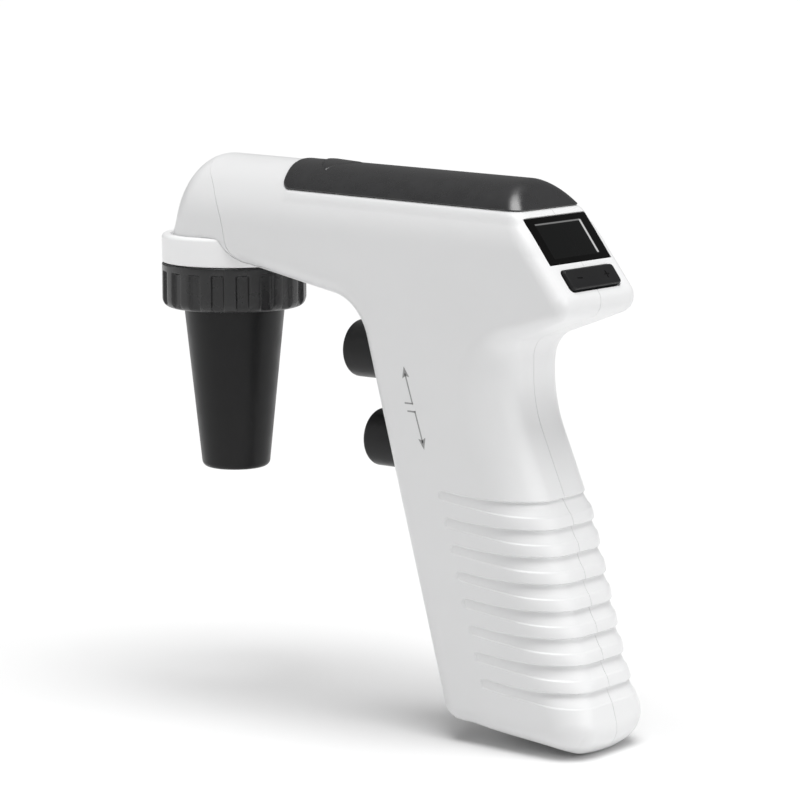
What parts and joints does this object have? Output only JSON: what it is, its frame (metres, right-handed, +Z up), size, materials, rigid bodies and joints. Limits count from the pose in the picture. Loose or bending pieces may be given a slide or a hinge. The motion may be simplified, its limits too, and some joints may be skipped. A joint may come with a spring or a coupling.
{
  "type": "motorized pipette controller",
  "caption": "Gun-shaped motorized pipette controller with two trigger buttons, ribbed grip, sliding battery cover, display, speed rocker and screw-on nose cone.",
  "frame": {"origin": "centre of the pipette socket's mouth, at the lower end of the nose cone", "axes": "+Z up the nose axis, +X to the rear (display and handle), -Y the user's left side"},
  "size_m": [0.1453, 0.0386, 0.1436],
  "materials": {
    "white_plastic": "satin white ABS",
    "black_plastic": "satin black",
    "dark_grey_plastic": "satin dark grey",
    "black_rubber": "matt",
    "silicone": "translucent matt",
    "silicone_hose": "translucent",
    "clear_plastic": "gloss",
    "membrane": "matt",
    "grey_plastic": "moulded",
    "pump_plastic": "moulded",
    "switch_plastic": "moulded",
    "steel": "bright",
    "spring_steel": "bright",
    "motor_can": "plated",
    "aluminium": "machined",
    "brass": "bright",
    "cell_sleeve": "shrink sleeve",
    "wire_insulation": "pvc",
    "circuit_board": "solder mask",
    "display_window": "high gloss",
    "display_glass": "gloss"
  },
  "bodies": {
    "root": {"left_shell": "white_plastic", "right_shell": "white_plastic", "front_cap": "white_plastic", "collar_ring": "white_plastic", "nozzle_connector": "grey_plastic", "air_tube": "silicone_hose", "aspirate_spring": "spring_steel", "dispense_spring": "spring_steel", "valve_block": "aluminium", "valve_seals": "black_rubber", "battery_tray": "grey_plastic", "battery_cell": "cell_sleeve", "battery_contact_front": "brass", "battery_contact_rear": "brass", "battery_wires": "wire_insulation", "display_lens": "display_window", "display_module": "display_glass", "display_board": "circuit_board", "rocker_switches": "switch_plastic", "pump_motor": "motor_can", "pump_body": "pump_plastic", "pump_diaphragm": "black_rubber", "pump_head": "pump_plastic", "pump_cradle": "grey_plastic", "suction_tube": "silicone_hose", "pressure_tube": "silicone_hose", "main_board": "circuit_board", "board_screws": "steel", "trigger_switches": "switch_plastic", "housing_screws": "steel", "charging_socket": "grey_plastic"},
    "nose": {"nose_cone": "black_plastic", "nose_o_ring": "black_rubber", "pipette_holder": "silicone", "filter_housing": "clear_plastic", "filter_membrane": "membrane"},
    "nut": {"ring_nut": "black_plastic"},
    "aspirate_trigger": {"aspirate_button": "black_plastic", "aspirate_stem": "steel"},
    "dispense_trigger": {"dispense_button": "black_plastic", "dispense_stem": "steel"},
    "cover": {"battery_cover": "dark_grey_plastic"},
    "rocker": {"speed_rocker": "black_plastic"},
    "rotor": {"motor_shaft": "steel", "eccentric_cam": "brass"}
  },
  "joints": [
    {"name": "aspirate_press", "type": "slide", "parent": "root", "child": "aspirate_trigger", "axis": [1, 0, 0], "range_m": [0, 0.004], "stiffness_N_per_m": 300, "springref_m": -0.002, "deforming": ["aspirate_spring"]},
    {"name": "dispense_press", "type": "slide", "parent": "root", "child": "dispense_trigger", "axis": [1, 0, 0], "range_m": [0, 0.004], "stiffness_N_per_m": 300, "springref_m": -0.002, "deforming": ["dispense_spring"]},
    {"name": "cover_slide", "type": "slide", "parent": "root", "child": "cover", "axis": [0.9997, 0, -0.0227], "range_m": [0, 0.076]},
    {"name": "rocker_tilt", "type": "hinge", "parent": "root", "child": "rocker", "pos_m": [0.11634, 0, 0.05843], "axis": [0.6, 0, -0.8], "range_deg": [-4, 4], "stiffness_Nm_per_rad": 0.05},
    {"name": "nose_drop", "type": "slide", "parent": "root", "child": "nose", "axis": [0, 0, -1], "range_m": [0, 0.006]},
    {"name": "nut_turn", "type": "hinge", "parent": "nose", "child": "nut", "pos_m": [0, 0, 0.0495], "axis": [0, 0, -1], "range_deg": [0, 900]},
    {"name": "motor_spin", "type": "hinge", "parent": "root", "child": "rotor", "pos_m": [0.1014, 0, -0.036], "axis": [-0.2756, 0, 0.9613], "continuous": true}
  ],
  "couplings": [
    {"joint": "nose_drop", "follows": "nut_turn", "m_per_rad": 0.00038197}
  ]
}
